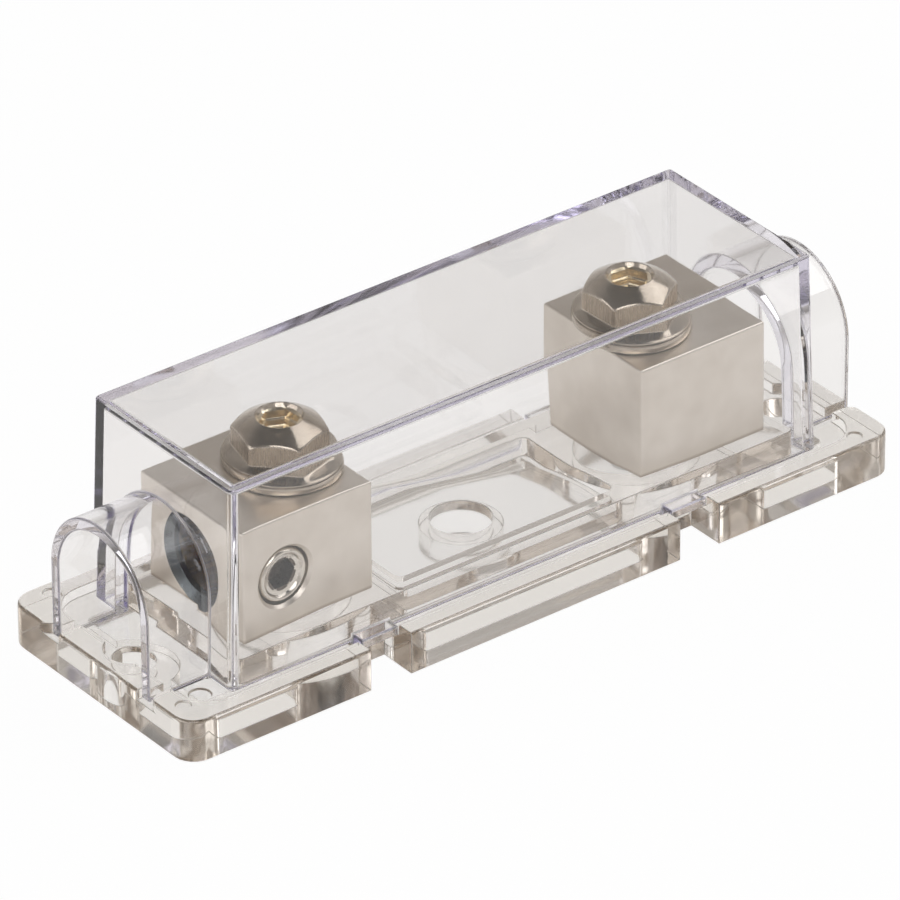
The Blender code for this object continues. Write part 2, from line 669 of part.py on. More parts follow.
def build_end(end_name, end, parts, tools, nickel, bright):
    """A terminal block and its screws; the left end is the right one turned half a turn."""
    turn = 0.0 if end > 0 else math.pi
    block = build_block(f"terminal_block_{end_name}", parts, tools, nickel)
    block.location.x *= end
    block.rotation_euler.z = turn
    washer = build_washer(f"bolt_washer_{end_name}", parts, bright)
    washer.location = (end * BOLT_X, 0, WASHER_FOOT)
    bolt = build_bolt(f"fuse_bolt_{end_name}", BOLT_TURN[end_name], parts, tools, bright)
    bolt.location = (end * BOLT_X, 0, FLANGE_FOOT)
    grub = build_grub(f"cable_grub_screw_{end_name}", parts, tools, bright)
    grub.rotation_euler = (-end * math.pi / 2, 0, 0)
    grub.location = (end * GRUB_X, -end * GRUB_FACE_Y, BORE_Z)
    fixing = build_fixing_screw(f"block_screw_{end_name}", parts, tools, bright)
    fixing.location = (end * BOLT_X, 0, FIXING_HEAD_TOP)


def main():
    clear_scene()
    parts = new_collection("fuse_holder")
    tools = new_collection("cutters")
    plastic = new_material("clear polycarbonate", (0.93, 0.91, 0.89), 0.05, 0.0, clear=1.0)
    nickel = new_material("satin nickel plate", (0.62, 0.58, 0.53), 0.38, 1.0)
    bright = new_material("bright nickel plate", (0.72, 0.69, 0.65), 0.16, 1.0)
    build_base(parts, tools, plastic)
    build_cover(parts, tools, plastic)
    for end_name, end in both_ends():
        build_end(end_name, end, parts, tools, nickel, bright)


main()
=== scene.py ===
"""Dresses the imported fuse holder: clear mouldings, plated terminals and screws, studio and camera."""
import math

import bmesh
import bpy
from bpy.props import FloatProperty, FloatVectorProperty, PointerProperty
from bpy.types import Operator, Panel, PropertyGroup
from mathutils import Matrix, Vector


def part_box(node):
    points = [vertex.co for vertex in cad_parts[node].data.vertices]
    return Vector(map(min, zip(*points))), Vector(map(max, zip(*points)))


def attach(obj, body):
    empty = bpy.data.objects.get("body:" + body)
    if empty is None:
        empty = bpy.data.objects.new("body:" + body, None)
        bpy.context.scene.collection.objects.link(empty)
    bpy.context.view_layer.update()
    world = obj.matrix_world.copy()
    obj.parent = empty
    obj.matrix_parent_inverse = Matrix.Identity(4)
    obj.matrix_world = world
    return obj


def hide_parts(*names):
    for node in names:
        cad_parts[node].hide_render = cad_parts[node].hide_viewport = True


bl_info = {
    "name": "Clear Fuse Holder",
    "version": (1, 0, 0),
    "blender": (4, 5, 0),
    "location": "3D View > Sidebar > Fuse Holder",
    "description": "Makes a clear fuse holder with plated terminals, and its studio",
    "category": "Object",
}

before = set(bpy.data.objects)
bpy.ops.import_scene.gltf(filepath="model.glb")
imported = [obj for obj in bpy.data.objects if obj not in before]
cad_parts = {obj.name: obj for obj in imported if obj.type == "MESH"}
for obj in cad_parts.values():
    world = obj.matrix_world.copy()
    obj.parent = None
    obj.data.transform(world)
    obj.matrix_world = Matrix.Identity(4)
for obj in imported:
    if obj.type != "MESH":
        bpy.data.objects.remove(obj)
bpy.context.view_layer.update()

MM = 0.001
MERGE_DISTANCE = 0.001 * MM
INNER_REFLECTIONS = 32
POLYCARBONATE_IOR = 1.585
RUBBED_ROUGHNESS = 0.4
CLOUD_SIZE = 5.0 * MM
# Height of the brown band of painted shade along a block's foot
FOOT_SHADE_HEIGHT = 0.8 * MM

# Angles of the points round a turned or hexagonal shape
STEPS = [2 * math.pi * step / 144 for step in range(144)]

# Soft boxes: name, place and width in metres, power in watts; and the point that they are turned to
SOFT_BOXES = (("soft_box_camera", (-0.5, -0.66, 0.95), 0.75, 5.0),
              ("soft_box_right", (0.8, -0.2, 0.95), 1.0, 6.0),
              ("soft_box_left", (-1.05, 0.35, 0.65), 0.8, 4.0))
LAMP_AIM = (0, 0, 0.02)
FLOOR_LEVEL = -0.0002

# The pale room that the metal reflects, from the level of the floor up to its dark ceiling
ROOM_TONES = ((0.0, "#E4E1DD"), (0.3, "#BDB9B4"), (0.52, "#ACA7A1"), (0.72, "#8A8682"), (0.9, "#3F3D3B"))

# A block's points this close to its foot, or to its end at the fuse, move with that end
END_BAND = 0.6 * MM
HOLDING_SCREW_EDGE = 0.08 * MM

# Turn of each bolt's head, and of its socket against the head, in degrees
HEAD_TURNS = (("left", 16.0), ("right", 33.0))
SOCKET_TWIST = 20.0

# Shank of a bolt below its threads' crests, with a short point and a neck under the flange
SHANK_RADIUS = 3.42 * MM
POINT_RADIUS = 2.5 * MM
POINT_HEIGHT = 0.7 * MM
NECK_RADIUS = 3.9 * MM
NECK_HEIGHT = 0.5 * MM

# Rings of a bolt's head, all in mm. Flange: in from its edge, above the seat
FLANGE_RINGS = ((0.4, 0.0), (0.2, 0.04), (0.08, 0.15), (0.12, 0.3), (0.35, 0.4), (0.8, 0.5))
# Foot of the hexagon: out from its sides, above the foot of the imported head
HEXAGON_FOOT_RINGS = ((0.22, 0.42), (0.06, 0.5), (0.0, 0.64))
# Chamfer of the hexagon: out from its sides, above the curve of the dome
HEXAGON_TOP_RINGS = ((0.0, -0.18), (-0.03, -0.06))
# Round mouth of the socket: out from its rim, below the top
SOCKET_MOUTH_RINGS = ((0.05, 0.0), (-0.08, 0.04), (-0.16, 0.16), (-0.4, 0.55))
# The socket's hexagon and the narrower one under its ledge: less than its flats, corner reach, below the top
SOCKET_RINGS = ((0.0, 2.86, 0.72), (0.0, 2.86, 1.85), (0.15, 2.8, 1.93))
LOWER_SOCKET_RINGS = ((0.0, 2.5, 2.0), (0.12, 2.45, 2.1), (0.12, 2.45, 2.8), (0.4, 2.3, 2.95),
                      (0.9, 2.0, 3.0))
SOCKET_LEDGE = 0.6 * MM
SOCKET_FLOOR_RADIUS = 0.8 * MM
SOCKET_DEPTH = 3.2 * MM

# Dome: how far each ring is on its way in from the hexagon to the socket, and where that way starts and ends
DOME_SHARES = (0.03, 0.12, 0.25, 0.4, 0.55, 0.7, 0.84, 0.95)
DOME_START = 0.06 * MM
DOME_END = 0.15 * MM

# The hexagon's corners are cut at this share of their reach
CORNER_SHARE = 0.985

# A washer's hole, the edge where the punch went in, the one where it came out, and the rolled outer edges
WASHER_HOLE_RADIUS = 4.3 * MM
PUNCHED_EDGE = 0.1 * MM
TORN_EDGE = 0.25 * MM
ROLLED_EDGE = 0.36 * MM

# Rings of a grub screw. Cup point: share of the radius, height above the point in mm
CUP_RINGS = ((0.5, 0.5), (0.6, 0.0), (0.7, 0.05))
CUP_DEPTH = 1.1 * MM
CUP_FLOOR_RADIUS = 0.4 * MM
# The core starts above the point and is this much smaller than the crests of the thread
CORE_HEIGHT = 0.6 * MM
CORE_INSET = 0.58 * MM
# Front end from the core over the chamfer into the dish: in from its edge, depth, in mm
GRUB_FACE_RINGS = ((0.58, 1.2), (0.05, 0.75), (0.0, 0.6), (0.08, 0.4), (0.3, 0.1), (0.42, 0.02),
                   (0.55, 0.0), (0.7, 0.06), (0.86, 0.26), (1.02, 0.46))
# Floor of the dish: radius, depth, in mm
DISH_RINGS = ((2.7, 0.54), (2.45, 0.58))
# The socket in it: reach of its corners, depths of its top and foot, and the point of the drill below
GRUB_SOCKET_REACH = 2.3 * MM
GRUB_SOCKET_DEPTHS = (0.7 * MM, 3.2 * MM)
GRUB_DRILL_RADIUS = 0.6 * MM
GRUB_DRILL_DEPTH = 3.6 * MM

# Threads: half width of the ridge, the radius that it is wound on, how far above the point it starts, and
# how much shorter than its screw it is in all
RIDGE = 0.58 * MM
BOLT_CORE_RADIUS = 3.4 * MM
GRUB_CORE_INSET = 0.6 * MM
THREAD_START = 0.9 * MM
BOLT_THREAD_SHORTER = 1.9 * MM
GRUB_THREAD_SHORTER = 2.1 * MM
POINTS_IN_TURN = 40


def linear(code):
    """A hex sRGB colour as linear red, green, blue and alpha."""
    channels = [int(code[place:place + 2], 16) / 255 for place in (1, 3, 5)]
    return (*(c / 12.92 if c <= 0.04045 else ((c + 0.055) / 1.055) ** 2.4 for c in channels), 1.0)


def add_node(tree, kind, links=(), values=None, **settings):
    """Adds a node, sets its properties and its inputs' values, and links (output, input) pairs into it."""
    node = tree.nodes.new(kind)
    for name, value in settings.items():
        setattr(node, name, value)
    for name, value in (values or {}).items():
        node.inputs[name].default_value = value
    for source, target in links:
        tree.links.new(source, node.inputs[target])
    return node


def empty_material(name):
    """A material with an empty node tree, and its output node."""
    material = bpy.data.materials.new(name)
    material.use_nodes = True
    tree = material.node_tree
    tree.nodes.clear()
    return material, tree, tree.nodes.new("ShaderNodeOutputMaterial")


def waves(tree, place, size_mm, height_mm, detail, stretch=(1, 1, 1)):
    """A bump of soft waves or grain, size_mm apart; stretch makes it longer along an axis."""
    scale = [1 / (size_mm * MM * value) for value in stretch]
    spread = add_node(tree, "ShaderNodeMapping", [(place.outputs["Object"], "Vector")], {"Scale": scale})
    noise = add_node(tree, "ShaderNodeTexNoise", [(spread.outputs[0], "Vector")],
                     {"Scale": 1.0, "Detail": detail})
    bump = add_node(tree, "ShaderNodeBump", [(noise.outputs["Fac"], "Height")],
                    {"Distance": height_mm * MM, "Strength": 1.0})
    return noise, bump


def noise_to(low, high):
    """Map Range values that spread the middle of a noise, where most of it lies, between two values."""
    return {"From Min": 0.3, "From Max": 0.7, "To Min": low, "To Max": high}


def clear_plastic(name, tint, depth, roughness, wave_mm, wave_height_mm):
    """Moulded polycarbonate: water clear through a wall, tinted along its length, glossy from the mould.

    tint is what is left of white light after that depth of plastic. The waves are the slight unevenness
    that moulded faces have, and they break up the lines seen through them. The rounded edges, which carry
    the worn edge attribute, are rubbed and catch the light softly.
    """
    material, tree, output = empty_material(name)
    strength = [-math.log(share) / depth for share in tint]
    density = max(strength)
    colour = (*(1 - value / density for value in strength), 1)
    volume = add_node(tree, "ShaderNodeVolumeAbsorption", (), {"Density": density, "Color": colour})
    place = add_node(tree, "ShaderNodeTexCoord")
    noise, bump = waves(tree, place, wave_mm, wave_height_mm, detail=1.0)
    gloss = add_node(tree, "ShaderNodeMapRange", [(noise.outputs["Fac"], "Value")],
                     noise_to(roughness, roughness + 0.02))
    worn = add_node(tree, "ShaderNodeAttribute", attribute_name="worn_edge")
    rough = add_node(tree, "ShaderNodeMix", [(worn.outputs["Fac"], 0), (gloss.outputs[0], 2)],
                     {3: RUBBED_ROUGHNESS})
    shader = add_node(tree, "ShaderNodeBsdfPrincipled",
                      [(rough.outputs[0], "Roughness"), (bump.outputs["Normal"], "Normal")],
                      {"Base Color": (1, 1, 1, 1), "IOR": POLYCARBONATE_IOR, "Transmission Weight": 1.0})
    tree.links.new(shader.outputs[0], output.inputs["Surface"])
    tree.links.new(volume.outputs[0], output.inputs["Volume"])
    return material


def plated_metal(name, colours, roughness, grain_mm, height_mm, stretch=(1, 1, 1), foot=None):
    """Plate over brass or steel, or the bare metal: it keeps the grain of the metal, and clouds over.

    colours are its clear and its cloudy tone, and roughness is its least and greatest. Along a foot,
    whose height is then given, a brown band is painted shade: the contact shadow and dark reflection there.
    """
    material, tree, output = empty_material(name)
    place = add_node(tree, "ShaderNodeTexCoord")
    cloud = add_node(tree, "ShaderNodeTexNoise", [(place.outputs["Object"], "Vector")],
                     {"Scale": 1 / CLOUD_SIZE, "Detail": 3.0})
    cloudy = add_node(tree, "ShaderNodeMapRange", [(cloud.outputs["Fac"], "Value")], noise_to(0.0, 1.0))
    clear, dull = ((*colour[:3], 1) for colour in colours)
    tone = add_node(tree, "ShaderNodeMix", [(cloudy.outputs[0], 0)], {6: clear, 7: dull}, data_type="RGBA")
    if foot is not None:
        # Painted shade: a brown band along the foot stands in for the contact shadow and dark reflection
        # where the block meets the platform
        parts = add_node(tree, "ShaderNodeSeparateXYZ", [(place.outputs["Object"], "Vector")])
        near = add_node(tree, "ShaderNodeMapRange", [(parts.outputs["Z"], "Value")],
                        {"From Min": foot, "From Max": foot + FOOT_SHADE_HEIGHT, "To Min": 1.0, "To Max": 0.0})
        tone = add_node(tree, "ShaderNodeMix", [(near.outputs[0], 0), (tone.outputs[2], 6)],
                        {7: linear("#8A745F")}, data_type="RGBA")
    grain, bump = waves(tree, place, grain_mm, height_mm, detail=3.0, stretch=stretch)
    rough = add_node(tree, "ShaderNodeMapRange", [(grain.outputs["Fac"], "Value")], noise_to(*roughness))
    shader = add_node(tree, "ShaderNodeBsdfPrincipled",
                      [(tone.outputs[2], "Base Color"), (rough.outputs[0], "Roughness"),
                       (bump.outputs["Normal"], "Normal")], {"Metallic": 1.0})
    tree.links.new(shader.outputs[0], output.inputs["Surface"])
    return material


def drilled_brass(name, ring_foot):
    """Drilled brass with painted reflections in streaks along the bore, and a dark ring at its mouth."""
    material, tree, output = empty_material(name)
    place = add_node(tree, "ShaderNodeTexCoord")
    streaks, bump = waves(tree, place, size_mm=0.9, height_mm=0.03, detail=3.0, stretch=(14, 1, 1))
    # Painted reflections: dark and golden streaks along the bore, over the brass's own colour
    golden = add_node(tree, "ShaderNodeValToRGB", [(streaks.outputs["Fac"], "Fac")])
    for stop, level, code in zip(golden.color_ramp.elements, (0.3, 0.72), ("#4A4034", "#B18A4E")):
        stop.position = level
        stop.color = linear(code)
    parts = add_node(tree, "ShaderNodeSeparateXYZ", [(place.outputs["Object"], "Vector")])
    depth = add_node(tree, "ShaderNodeMath", [(parts.outputs["X"], 0)], operation="ABSOLUTE")
    mouth = add_node(tree, "ShaderNodeMapRange", [(depth.outputs[0], "Value")],
                     {"From Min": ring_foot - 0.1 * MM, "From Max": ring_foot})
    tone = add_node(tree, "ShaderNodeMix", [(mouth.outputs[0], 0), (golden.outputs["Color"], 6)],
                    {7: linear("#585D60")}, data_type="RGBA")
    rough = add_node(tree, "ShaderNodeMapRange", [(streaks.outputs["Fac"], "Value")], noise_to(0.24, 0.4))
    shader = add_node(tree, "ShaderNodeBsdfPrincipled",
                      [(tone.outputs[2], "Base Color"), (rough.outputs[0], "Roughness"),
                       (bump.outputs["Normal"], "Normal")], {"Metallic": 1.0})
    tree.links.new(shader.outputs[0], output.inputs["Surface"])
    return material


def finished_piece(context, name, mesh, materials, body, nodes=()):
    """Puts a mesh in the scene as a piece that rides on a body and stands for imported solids."""
    for number, material in enumerate(materials):
        if number < len(mesh.materials):
            mesh.materials[number] = material
        else:
            mesh.materials.append(material)
    piece = bpy.data.objects.new(name, mesh)
    context.scene.collection.objects.link(piece)
    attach(piece, body)
    if nodes:
        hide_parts(*nodes)
    return piece


def smooth_by_angle(mesh, degrees):
    """Smooth shading with the edges above an angle kept sharp."""
    mesh.shade_smooth()
    mesh.set_sharp_from_angle(angle=math.radians(degrees))


def whole_copy(node_name, mesh_name):
    """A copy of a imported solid's mesh with its triangles joined and its flat faces made whole."""
    bm = bmesh.new()
    bm.from_mesh(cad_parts[node_name].data)
    bmesh.ops.remove_doubles(bm, verts=bm.verts, dist=MERGE_DISTANCE)
    bmesh.ops.dissolve_limit(bm, angle_limit=math.radians(0.3), verts=bm.verts, edges=bm.edges)
    mesh = bpy.data.meshes.new(mesh_name)
    bm.to_mesh(mesh)
    bm.free()
    smooth_by_angle(mesh, 31)
    return mesh


def broken_edges(context, piece, box, width, segments=2, worn_slot=-1):
    """Takes the sharpness off a piece's edges, as a mould or a deburring wheel leaves them.

    The rounded mesh replaces the sharp one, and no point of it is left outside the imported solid's box.
    A worn slot is given up again, and its faces carry the worn edge attribute instead.
    """
    bevel = piece.modifiers.new("Broken edges", "BEVEL")
    bevel.width = width
    bevel.segments = segments
    bevel.limit_method = "ANGLE"
    bevel.angle_limit = math.radians(40)
    bevel.use_clamp_overlap = False
    bevel.miter_outer = "MITER_SHARP"
    bevel.material = worn_slot
    rounded = bpy.data.meshes.new_from_object(piece.evaluated_get(context.evaluated_depsgraph_get()))
    piece.modifiers.remove(bevel)
    low, high = box
    for vertex in rounded.vertices:
        for axis in range(3):
            vertex.co[axis] = min(max(vertex.co[axis], low[axis]), high[axis])
    if worn_slot > 0:
        worn = rounded.attributes.new("worn_edge", "FLOAT", "FACE")
        for face, value in zip(rounded.polygons, worn.data):
            value.value = float(face.material_index == worn_slot)
            face.material_index = 0
        rounded.materials.pop(index=worn_slot)
    piece.data = rounded
    level = piece.modifiers.new("Even shading", "WEIGHTED_NORMAL")
    level.keep_sharp = False
    level.weight = 80


def lofted(mesh_name, rings, closed=False):
    """A solid through rings of points; its ends meet in a point, or the last ring joins the first."""
    count = len(rings[0])
    bm = bmesh.new()
    rows = [[bm.verts.new(point) for point in ring] for ring in rings]
    pairs = list(zip(rows, rows[1:])) + ([(rows[-1], rows[0])] if closed else [])
    for first, second in pairs:
        for place in range(count):
            after = (place + 1) % count
            bm.faces.new((first[place], first[after], second[after], second[place]))
    if not closed:
        for row in (rows[0], rows[-1]):
            middle = bm.verts.new(sum((vertex.co for vertex in row), Vector()) / count)
            for place in range(count):
                bm.faces.new((row[place], row[(place + 1) % count], middle))
    bmesh.ops.remove_doubles(bm, verts=bm.verts, dist=MERGE_DISTANCE)
    bmesh.ops.recalc_face_normals(bm, faces=bm.faces)
    mesh = bpy.data.meshes.new(mesh_name)
    bm.to_mesh(mesh)
    bm.free()
    smooth_by_angle(mesh, 35)
    return mesh


def shaped_ring(radii, heights):
    """A ring of points, one for each step, at these distances from the axis and these heights."""
    return [(radius * math.cos(turn), radius * math.sin(turn), height)
            for radius, height, turn in zip(radii, heights, STEPS)]


def round_ring(radius, height):
    """A level circle of points."""
    return shaped_ring([radius] * len(STEPS), [height] * len(STEPS))


def hexagon_reach(flats, turn, limit):
    """How far a hexagon with a corner at angle 0 reaches at an angle, with its corners cut at a limit."""
    away = turn % (math.pi / 3) - math.pi / 6
    return min(flats / 2 / math.cos(away), limit)


def hexagon_ring(flats, limit, height, twist=0.0):
    """A level hexagon of points, turned by an angle, with its corners cut at a limit."""
    radii = [hexagon_reach(flats, turn - twist, limit) for turn in STEPS]
    return shaped_ring(radii, [height] * len(STEPS))


def thread_tree():
    """Builds the node tree of a screw thread: a ridge wound round a shank, up from the XY plane."""
    tree = bpy.data.node_groups.new("Screw Thread", "GeometryNodeTree")
    for name, kind in (("Core Radius", "NodeSocketFloat"), ("Pitch", "NodeSocketFloat"),
                       ("Length", "NodeSocketFloat"), ("Ridge", "NodeSocketFloat"),
                       ("Metal", "NodeSocketMaterial")):
        tree.interface.new_socket(name, in_out="INPUT", socket_type=kind)
    tree.interface.new_socket("Geometry", in_out="OUTPUT", socket_type="NodeSocketGeometry")
    sizes = tree.nodes.new("NodeGroupInput").outputs
    turns = add_node(tree, "ShaderNodeMath", [(sizes["Length"], 0), (sizes["Pitch"], 1)],
                     operation="DIVIDE")
    winding = add_node(tree, "GeometryNodeCurveSpiral",
                       [(turns.outputs[0], "Rotations"), (sizes["Core Radius"], "Start Radius"),
                        (sizes["Core Radius"], "End Radius"), (sizes["Length"], "Height")],
                       {"Resolution": POINTS_IN_TURN})
    upright = add_node(tree, "GeometryNodeSetCurveNormal", [(winding.outputs[0], "Curve")], mode="Z_UP")
    # Four points make the ridge's section a square on its corner, with a sharp crest
    crest = add_node(tree, "GeometryNodeCurvePrimitiveCircle", [(sizes["Ridge"], "Radius")],
                     {"Resolution": 4})
    ridge = add_node(tree, "GeometryNodeCurveToMesh",
                     [(upright.outputs[0], "Curve"), (crest.outputs[0], "Profile Curve")],
                     {"Fill Caps": True})
    real = add_node(tree, "GeometryNodeRealizeInstances", [(ridge.outputs[0], 0)])
    metal = add_node(tree, "GeometryNodeSetMaterial", [(real.outputs[0], "Geometry"),
                                                       (sizes["Metal"], "Material")])
    add_node(tree, "NodeGroupOutput", [(metal.outputs[0], "Geometry")])
    return tree


def thread_mesh(context, mesh_name, tree, place, sizes, metal):
    """Evaluates the thread's tree once and gives its mesh at a place."""
    carrier = bpy.data.objects.new(mesh_name, bpy.data.meshes.new(mesh_name))
    context.scene.collection.objects.link(carrier)
    wound = carrier.modifiers.new("Screw thread", "NODES")
    wound.node_group = tree
    values = {**sizes, "Metal": metal}
    for item in tree.interface.items_tree:
        if item.in_out == "INPUT":
            wound[item.identifier] = values[item.name]
    depsgraph = context.evaluated_depsgraph_get()
    mesh = bpy.data.meshes.new_from_object(carrier.evaluated_get(depsgraph))
    carrier.modifiers.remove(wound)
    bpy.data.objects.remove(carrier)
    bm = bmesh.new()
    bm.from_mesh(mesh)
    bmesh.ops.remove_doubles(bm, verts=bm.verts, dist=MERGE_DISTANCE)
    bmesh.ops.recalc_face_normals(bm, faces=bm.faces)
    bm.to_mesh(mesh)
    bm.free()
    mesh.transform(place)
    smooth_by_angle(mesh, 35)
    return mesh


def studio_floor_material(white_share, through_share):
    """Matt white paper that is nearly pure white seen straight, and shaded paper seen through plastic."""
    material, tree, output = empty_material("matt white background paper")
    paper = add_node(tree, "ShaderNodeBsdfDiffuse", (), {"Color": linear("#F4F4F4")})
    path = add_node(tree, "ShaderNodeLightPath")
    tone = add_node(tree, "ShaderNodeMix", [(path.outputs["Is Camera Ray"], 0)],
                    {6: linear("#FAF8F5"), 7: (1, 1, 1, 1)}, data_type="RGBA")
    glow = add_node(tree, "ShaderNodeEmission", [(tone.outputs[2], "Color")], {"Strength": 1.0})
    through = add_node(tree, "ShaderNodeMath", [(path.outputs["Is Glossy Ray"], 0),
                                                (path.outputs["Is Transmission Ray"], 1)],
                       operation="MAXIMUM")
    through = add_node(tree, "ShaderNodeMath", [(through.outputs[0], 0)], {1: through_share},
                       operation="MULTIPLY")
    straight = add_node(tree, "ShaderNodeMath", [(path.outputs["Is Camera Ray"], 0)], {1: white_share},
                        operation="MULTIPLY")
    share = add_node(tree, "ShaderNodeMath", [(straight.outputs[0], 0), (through.outputs[0], 1)],
                     operation="MAXIMUM")
    mix = add_node(tree, "ShaderNodeMixShader", [(share.outputs[0], 0), (paper.outputs[0], 1),
                                                 (glow.outputs[0], 2)])
    tree.links.new(mix.outputs[0], output.inputs["Surface"])
    return material


class MouldingSizes(PropertyGroup):
    """The two clear mouldings."""
    base_tint: FloatVectorProperty(name="Base tint", description="Light left after the tint depth",
                                   subtype="COLOR", default=linear("#E9E3DC")[:3], min=0.01, max=0.99)
    cover_tint: FloatVectorProperty(name="Cover tint", description="Light left after the tint depth",
                                    subtype="COLOR", default=linear("#E9E7F1")[:3], min=0.01, max=0.99)
    tint_depth: FloatProperty(name="Tint depth", description="Depth of plastic that gives the tint",
                              default=20 * MM, unit="LENGTH")
    base_edge: FloatProperty(name="Base edge", description="Rounding that the mould leaves on the base",
                             default=0.12 * MM, unit="LENGTH")
    cover_edge: FloatProperty(name="Cover edge", description="Rounding that the mould leaves on the cover",
                              default=0.3 * MM, unit="LENGTH")


class MetalSizes(PropertyGroup):
    """The plated blocks, washers and screws."""
    plate: FloatVectorProperty(name="Satin plate", description="Colour of the satin nickel",
                               subtype="COLOR", default=linear("#E6DED4")[:3])
    cloudy_plate: FloatVectorProperty(name="Cloudy plate", description="Colour of its cloudy places",
                                      subtype="COLOR", default=linear("#DAD1C6")[:3])
    edge: FloatProperty(name="Broken edge", description="Width taken off the blocks' hole edges",
                        default=0.07 * MM, unit="LENGTH")
    head_flats: FloatProperty(name="Head flats", description="Width of the bolt's hexagon",
                              default=12 * MM, unit="LENGTH")
    head_rise: FloatProperty(name="Head height", description="Height of the bolt's head with its flange",
                             default=5.25 * MM, unit="LENGTH")
    socket_flats: FloatProperty(name="Socket flats", description="Width of the bolt's hexagon socket",
                                default=5 * MM, unit="LENGTH")
    socket_rim: FloatProperty(name="Socket rim", description="Diameter of the round mouth of the socket",
                              default=6.9 * MM, unit="LENGTH")
    dome: FloatProperty(name="Dome curve", description="Drop of the head's dome with the radius squared",
                        default=60.0)
    pitch: FloatProperty(name="Thread pitch", description="Pitch of the M8 threads",
                         default=1.25 * MM, unit="LENGTH")
    seat_gap: FloatProperty(name="Seating gap", description="Gap that the metal parts close when seated",
                            default=0.27 * MM, unit="LENGTH")
    longer_outside: FloatProperty(name="Longer outside", description="Length added at the cable's end",
                                  default=0.8 * MM, unit="LENGTH")
    longer_inside: FloatProperty(name="Longer inside", description="Length added at the fuse's end",
                                 default=0.4 * MM, unit="LENGTH")
    bore_height: FloatProperty(name="Bore height", description="Height of the cable bore above the foot",
                               default=7.5 * MM, unit="LENGTH")
    bore: FloatProperty(name="Bore", description="Diameter of the cable bore",
                        default=12.4 * MM, unit="LENGTH")
    bore_end: FloatProperty(name="Bore end", description="Place of the bore's end from the middle",
                            default=33.8 * MM, unit="LENGTH")
    bore_face: FloatProperty(name="Bore face", description="Just inside the face that the bore opens in",
                             default=44.75 * MM, unit="LENGTH")
    bore_mouth: FloatProperty(name="Bore mouth", description="Diameter of the chamfer round the bore",
                              default=14.6 * MM, unit="LENGTH")
    bore_ring: FloatProperty(name="Bore ring", description="Place of the chamfer's foot from the middle",
                             default=43.8 * MM, unit="LENGTH")
    grub_flats: FloatProperty(name="Grub screw flats", description="Width of the grub screw's socket",
                              default=4 * MM, unit="LENGTH")


class StudioSizes(PropertyGroup):
    """The camera and the light of the studio."""
    azimuth: FloatProperty(name="Camera azimuth", description="Turn of the camera round the holder",
                           default=math.radians(-37.727), subtype="ANGLE")
    elevation: FloatProperty(name="Camera elevation", description="Angle of the camera above the floor",
                             default=math.radians(31.341), subtype="ANGLE")
    roll: FloatProperty(name="Camera roll", description="Turn of the camera about its own axis",
                        default=math.radians(-0.312), subtype="ANGLE")
    distance: FloatProperty(name="Camera distance", description="Distance from the camera to the holder",
                            default=1.3966, unit="LENGTH")
    lens: FloatProperty(name="Lens", description="Focal length of the camera, in millimetres",
                        default=403.9)
    aim: FloatVectorProperty(name="Aim", description="Point that the camera looks at",
                             default=(0.0, 0.0, 0.017), subtype="XYZ", unit="LENGTH")
    slide: FloatVectorProperty(name="Slide", description="Move of the camera to its right and up",
                               size=2, default=(-0.00098, -0.0002), unit="LENGTH")
    floor_size: FloatProperty(name="Floor size", description="Width of the paper floor",
                              default=6.0, unit="LENGTH")
    white_share: FloatProperty(name="White share", description="How much of the paper is seen as white",
                               default=0.97, subtype="FACTOR", min=0, max=1)
    through_share: FloatProperty(name="Share through plastic",
                                 description="How much of the paper is white in and behind the object",
                                 default=0.83, subtype="FACTOR", min=0, max=1)


